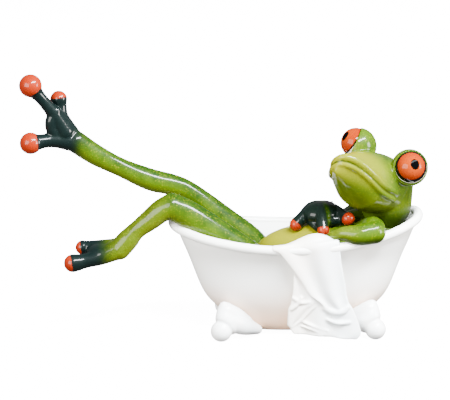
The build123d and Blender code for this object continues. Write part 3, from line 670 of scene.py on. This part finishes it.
def pad_rule(pads):
    """How deep a place lies inside the paint of the nearest pad, in millimetres."""

    def rule(place, normal):
        deepest = outside_pads
        for centre, radius, ahead, edge in pads:
            away = place - centre
            deepest = max(deepest, min(radius * pad_reach - away.length, away.dot(ahead) - edge))
        return deepest

    return rule


def make_limb(names, nodes, lines, digits, palm, joint, pad_edges, grain, tints, extra=()):
    """A leg with its foot, or an arm with its hand, cast as one and parted at the joint.

    A pad's paint starts at its edge, in millimetres beyond the middle of the digit's tip.
    """
    clay = bmesh.new()
    for stations in lines:
        add_limb(clay, stations)
    pads = []
    for stations, edge in zip(digits, pad_edges):
        add_limb(clay, stations, sides=20)
        tip, before = Vector(stations[-1][:3]), Vector(stations[-2][:3])
        pads.append((tip, stations[-1][3], (tip - before).normalized(), edge))
    centre, half_sizes = palm
    add_ball(clay, *centre, 1, half_sizes)
    for stations in extra:
        add_limb(clay, stations, sides=16)
    skin = fuse(clay, grain, passes=6)
    place, along = joint
    upper, lower = cut_in_two(skin, at(*place), Vector(along).normalized())
    rules = dict(tints, pad=pad_rule(pads))
    finish_piece(names[0], upper, skin_finish, [nodes[0]], rules)
    finish_piece(names[1], lower, skin_finish, [nodes[1]], rules)


# the legs are dark on top, yellow below, shaded in the bathtub, and teal at the feet
def leg_dark(place, normal):
    return 0.8 * step(normal.z, -0.4, 0.9)


def leg_yellow(place, normal):
    return 0.25 * step(-normal.z, 0, 0.8)


def left_leg_yellow(place, normal):
    return leg_yellow(place, normal) + 0.14 * step(-place.x, 60, 72)


def leg_shadow(place, normal):
    return 0.5 * (1 - step(place.z, 38, 46)) * step(place.x, -60, -40)


def left_foot_teal(place, normal):
    return step(-place.x, 86, 103)


def right_foot_teal(place, normal):
    return step(-place.x + (place.z - 95) * 0.35, 99, 116)


left_leg_line = [
    (-16, -9, 33, 8), (-27, -9.9, 42.2, 7.8), (-46.7, -9.9, 56.5, 7.52), (-56, -9.9, 63, 7.04),
    (-62.5, -9.9, 66.4, 6.56), (-67.8, -9.9, 63.9, 5.92), (-73, -9.9, 59.7, 5.4), (-80, -9.9, 54.2, 4.6),
    (-84.2, -9.9, 49.6, 5.4), (-88.6, -9.9, 44.6, 5.5),
]
left_toes = [
    [
        (-91, -9.9, 43.9, 5.28), (-98.5, -10.9, 40.9, 4.32), (-105.2, -11.4, 39.2, 3.76),
        (-109.5, -11.7, 38.4, 4.32), (-112, -11.9, 38.1, 4.6),
    ],
    [(-91, -6.9, 44.9, 4.4), (-99, -3.9, 44.6, 3.2), (-104, -2.2, 43.9, 3.12), (-106.8, -1.7, 43.4, 3.68)],
    [(-91, -5.9, 43.6, 4), (-97.5, 0.1, 41.1, 3), (-101.5, 3.6, 39.6, 2.88), (-103.8, 5.1, 39.1, 3.52)],
]
make_limb(
    ("left_leg_casting", "left_foot_casting"), ("left_leg", "left_foot"),
    [left_leg_line[:5], left_leg_line[4:]], left_toes,
    palm=((-96.2, -6.9, 42.4), (9, 8.25, 4.62)), joint=((-89.5, -9.9, 44.6), (-4.8, 0, -5.2)),
    pad_edges=(0.8, 0.4, 0.2), grain=0.5,
    tints={
        "dark": leg_dark, "yellow": left_leg_yellow, "shadow": leg_shadow, "teal": left_foot_teal,
        "crease": no_tint,
    },
)
right_leg_line = [
    (-16, 7, 33, 8), (-22.5, 7, 42.7, 7.6), (-36.3, 7, 54.5, 7.0), (-46, 7, 63.3, 5.92), (-54.6, 7, 70, 5.28),
    (-62, 6.5, 73.2, 5.4), (-72.7, 6, 76.1, 5.6), (-87.7, 5, 83, 4.7), (-99.8, 4, 89.7, 5.3),
    (-109.9, 3, 96.9, 5.6),
]
right_toes = [
    [
        (-115.4, 2.5, 102.3, 5.04), (-120.9, 1.5, 112, 3.6), (-125.9, 0.8, 118.6, 3.0),
        (-129.5, 0.4, 123, 3.68), (-132.2, 0, 126.6, 5.8),
    ],
    [(-112.5, 4, 101, 4.6), (-116.6, 6, 108.5, 3.7), (-117.6, 7.6, 113.8, 3.7), (-118.0, 8, 117.6, 4.3)],
    [
        (-108.5, 3, 96.3, 5.2), (-115.0, 2.2, 97.7, 4.7), (-119.9, 1, 98.4, 4.0), (-124.6, 0, 98.3, 3.6),
        (-129, -1, 97.8, 4.0), (-132.4, -1.5, 97.5, 5.5),
    ],
]
right_foot_web = [
    (-117.5, 1.5, 98.5, 3.4), (-121.4, 0.8, 103.5, 3.2), (-121.8, 0.8, 108.5, 3.2), (-119.5, 1.2, 113, 2.6),
]
make_limb(
    ("right_leg_casting", "right_foot_casting"), ("right_leg", "right_foot"), [right_leg_line], right_toes,
    palm=((-117.2, 2.3, 103), (6.2, 4.2, 7.2)), joint=((-108.5, 3, 96.2), (-10.1, -1, 7.4)),
    pad_edges=(-3.4, 0.9, -3.0), grain=0.5,
    tints={
        "dark": leg_dark, "yellow": leg_yellow, "shadow": leg_shadow, "teal": right_foot_teal,
        "crease": no_tint,
    },
    extra=[right_foot_web],
)

# Arms and hands: each arm and each hand is a resin casting, doweled at shoulder and wrist.
# The near arm lies along the rim with its elbow out, and the far hand rests domed and
# webbed on the belly with its three orange-tipped fingers spread.


# the near arm is dark on top and shaded below, and the far hand is almost all teal
def arm_dark(place, normal):
    return 0.45 * step(normal.z, 0.2, 0.95)


def arm_yellow(place, normal):
    return 0.2 * (1 - step(place.x, 20, 34))


def arm_shadow(place, normal):
    return 0.7 * step(-normal.z, -0.1, 0.7)


def left_hand_teal(place, normal):
    return 1 - step(place.x, 11, 18)


def right_arm_dark(place, normal):
    return 0.8 * step(normal.z, -0.2, 0.9)


def right_hand_teal(place, normal):
    """Teal over the whole hand but for a green line along its middle finger."""
    off_line = place.x - 13.5 + (place.y + 2) * 0.21
    return 0.9 * (1 - step(place.x + place.y, 24, 40)) - 0.5 * exp(-((off_line / 1.3) ** 2))


left_arm_lines = [
    [(33, -9, 52, 5.4), (35.5, -13, 53.8, 5.8), (37.5, -19.5, 56.2, 5.8), (37.6, -25.5, 55.6, 5.7)],
    [
        (37.6, -25.5, 55.6, 5.6), (33, -26.6, 55.2, 5.6), (28.7, -26.8, 54.8, 5.2), (22.6, -26, 55.2, 3.7),
        (17.5, -23.3, 53.2, 2.7),
    ],
]
left_fingers = [
    [(16.5, -22.5, 52.0, 2.8), (13, -20.5, 49.6, 3.0), (8.5, -19.5, 48, 2.6), (4.5, -19, 47, 2.8)],
    [(16.7, -22.3, 52.2, 2.7), (14.5, -18.5, 50.3, 2.8), (11.5, -15.5, 49.4, 2.5), (9, -13.5, 48.8, 2.7)],
]
make_limb(
    ("left_arm_casting", "left_hand_casting"), ("left_arm", "left_hand"), left_arm_lines, left_fingers,
    palm=((13.3, -19.7, 50.2), (4.2, 4.0, 2.8)), joint=((17.5, -23.3, 52.6), (-5.5, 3, -1.5)),
    pad_edges=(0, 0), grain=0.4,
    tints={
        "dark": arm_dark, "yellow": arm_yellow, "shadow": arm_shadow, "teal": left_hand_teal,
        "crease": no_tint,
    },
)
right_arm_lines = [
    [
        (33, 9, 52, 5.4), (36, 12, 53.5, 5.63), (39.5, 17, 56, 5.97), (42, 22.5, 56.6, 5.57),
        (41.5, 25.5, 56.4, 5.68),
    ],
    [
        (41.5, 25.5, 56.4, 5.6), (34, 22.5, 55, 5.0), (27, 16.5, 52.8, 4.4), (20, 9, 55.5, 3.6),
        (16.5, 4, 58.5, 3.6),
    ],
]
right_fingers = [
    [(14.5, 1.5, 61.4, 3.9), (8.5, -1.5, 61.4, 4.2), (3.5, -4.3, 58.4, 3.13), (-0.2, -6, 54.9, 3.31)],
    [(14, 0.5, 61.6, 3.9), (12.8, -6, 61.8, 4.2), (12.4, -12, 59.3, 3.19), (12.8, -16, 54.6, 3.07)],
    [(15.5, 1, 61.4, 3.9), (20.0, -4, 60.6, 3.6), (23.4, -9.2, 59.8, 3.0), (25.4, -12.2, 59.2, 3.4)],
]
right_hand_webs = [
    [(6, -4, 58.2, 2.6), (8.5, -8, 56, 2.6), (11, -11, 54.4, 2.4)],
    [(13.5, -10, 57, 2.8), (17.5, -9, 57.6, 2.9), (21.5, -9, 57.8, 2.7)],
    [(7, -2, 59, 3), (9, -6, 58, 3), (12, -9, 57, 3)],
]
make_limb(
    ("right_arm_casting", "right_hand_casting"), ("right_arm", "right_hand"), right_arm_lines, right_fingers,
    palm=((12.6, -3, 60.0), (10.2, 9.4, 5.9)), joint=((16.5, 4, 58.8), (-3.5, -5, 3)),
    pad_edges=(-0.6, -0.6, -0.6), grain=0.4,
    tints={
        "dark": right_arm_dark, "yellow": no_tint, "shadow": no_tint, "teal": right_hand_teal,
        "crease": no_tint,
    },
    extra=right_hand_webs,
)

# Towel: a hand towel folded over and hung on the near rim, one resin casting glued on
# and painted white. Its folds are modelled as layers that are fused into one piece.
towel_clay = bmesh.new()


def add_layer(rows, thick, folds, depth, slant):
    """A layer of cloth. A row has its left and its right end, each as x and z, and its y."""
    line = smooth_line([row[:4] for row in rows], 8)
    deep = smooth_line([(row[4], 0, 0, 0) for row in rows], 8)
    last_row = len(line) - 1
    layer = bmesh.new()
    bmesh.ops.create_grid(layer, x_segments=48, y_segments=last_row, size=1)
    for vert in layer.verts:
        across, down = (vert.co.x + 1) / 2, (1 - vert.co.y) / 2
        left_x, left_z, right_x, right_z = line[round(down * last_row)]
        y = deep[round(down * last_row)][0]
        fade = 0.4 + 0.6 * step(down, 0.0, 0.25)
        wave = sin(2 * pi * (folds * across + slant * down)) * depth * fade
        vert.co = at(left_x + (right_x - left_x) * across, y - wave, left_z + (right_z - left_z) * across)
    bmesh.ops.recalc_face_normals(layer, faces=layer.faces)
    if layer.faces[:][0].normal.y > 0:
        bmesh.ops.reverse_faces(layer, faces=layer.faces)
    geometry = layer.faces[:] + layer.edges[:] + layer.verts[:]
    bmesh.ops.solidify(layer, geom=geometry, thickness=thick / 1000)
    data = bpy.data.meshes.new("layer")
    layer.to_mesh(data)
    layer.free()
    towel_clay.from_mesh(data)
    bpy.data.meshes.remove(data)


under_layer = [
    (-1, 36, 22, 36, -29.4), (-3.5, 22, 23.4, 24, -29.6), (-4.6, 14, 27, 17.4, -30.2),
    (-4.8, 9, 30.2, 9, -30.6), (-3.2, 5.8, 31, 4.5, -30.9), (-2.6, 5.2, 29, 1.4, -30.9),
]
left_fold = [
    (-2.7, 38, 1, 34, -30.2), (-3.2, 30, 6, 27, -30.6), (-4, 22, 10.5, 21.2, -30.9),
    (-5.3, 18, 6.5, 17.8, -31.2), (-5.2, 13, 1.4, 12.6, -31.2), (-5.0, 8.9, -3.6, 9.2, -31.1),
]
top_layer = [
    (-9, 45.5, 17, 46, -24.2), (-12, 49.4, 19, 51.5, -25.8), (-13.4, 50.2, 19.8, 52.8, -28.6),
    (-13.5, 48.6, 20.0, 50.2, -30.3), (-9.1, 45.6, 20.5, 45.5, -30.6), (-3.5, 38.3, 21.4, 38, -30.8),
    (0.5, 32.5, 22.6, 31, -30.8), (5.5, 25.2, 23.5, 24, -31.0), (10.4, 21.2, 24.3, 19.5, -31.1),
    (13.0, 18.2, 24.4, 17.6, -30.8), (14.5, 17.2, 23.8, 17.2, -29.8),
]
add_layer(under_layer, thick=1.8, folds=2.4, depth=0.6, slant=0.3)
add_layer(left_fold, thick=1.4, folds=1.6, depth=0.45, slant=0.6)
add_layer(top_layer, thick=1.6, folds=1.7, depth=0.85, slant=0.3)
bunch_on_rim = [
    (-11, -26.8, 48.0, 1.5), (-4, -26.2, 48.4, 2.6), (4, -24.7, 49.8, 4.2), (9, -24.3, 50.7, 4.4),
    (14, -24.7, 50.0, 3.8), (18.5, -25.8, 49.4, 2.6),
]
add_limb(towel_clay, bunch_on_rim)
# the hem of the top layer, and then the raised creases
for stations in (
    [(12.5, -30.4, 18.4, 1.2), (17, -30.5, 16.2, 1.7), (21.5, -30.5, 16.4, 1.7), (24.2, -30.4, 18.4, 1.2)],
    [(2, -30.6, 11.2, 0.6), (8, -30.9, 8.6, 0.7), (14, -31.0, 6.6, 0.6)],
    [(1, -30.6, 9.4, 0.5), (7, -30.9, 7.0, 0.6), (13, -31.0, 5.0, 0.5)],
    [(14, -31.0, 12.4, 0.8), (19, -31.1, 10.6, 1.1), (25, -31.1, 10.8, 0.9)],
    [(-3.4, -31.2, 24, 0.7), (1.0, -31.3, 21.4, 0.9), (5.0, -31.2, 21.8, 0.7)],
    [(-3.8, -31.2, 18, 0.7), (-1.5, -31.3, 20, 0.9), (1.0, -31.2, 24.0, 0.7)],
):
    add_limb(towel_clay, stations, sides=12)
left_white, right_white, fold_white = (0.90, 0.84, 0.77, 1), (0.86, 0.91, 0.93, 1), (0.90, 0.86, 0.80, 1)
towel_finish, towel_shader, towel_place = new_finish(
    "towel_white", Roughness=0.42, Coat_Weight=0.15, Coat_Roughness=0.25
)
towel_along = towel_place.node("ShaderNodeSeparateXYZ", {0: towel_place})
towel_side = towel_along + (towel_place.noise(12) - 0.5) * 0.012
towel_colour = towel_side.between(0.036, 0.056).blend(left_white, right_white)
towel_cloud = towel_place.noise(5, 3).between(0.4, 0.8) * 0.3
feed(towel_shader, "Base Color", towel_cloud.blend(towel_colour, fold_white))
feed(towel_shader, "Normal", towel_place.noise(1.2, 3).bump(0.15, 0.1))
towel_skin = fuse(towel_clay, grain=0.42, passes=10)
finish_piece("towel_casting", towel_skin, towel_finish, ["towel"])

# Steel wires and dowels: bent steel wires run through the legs, and ground steel dowels
# hold the neck, the shoulders and the wrists. All are glued into holes, unseen.
steel_finish, steel_shader, steel_place = new_finish("steel", Metallic=1.0)
feed(steel_shader, "Roughness", steel_place.noise(0.5, 2) * 0.3 + 0.2)
steel_shader.inputs["Base Color"].default_value = (0.55, 0.56, 0.58, 1)
for node_name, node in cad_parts.items():
    if node_name.endswith(("wire", "dowel")):
        node.data.materials.clear()
        node.data.materials.append(steel_finish)
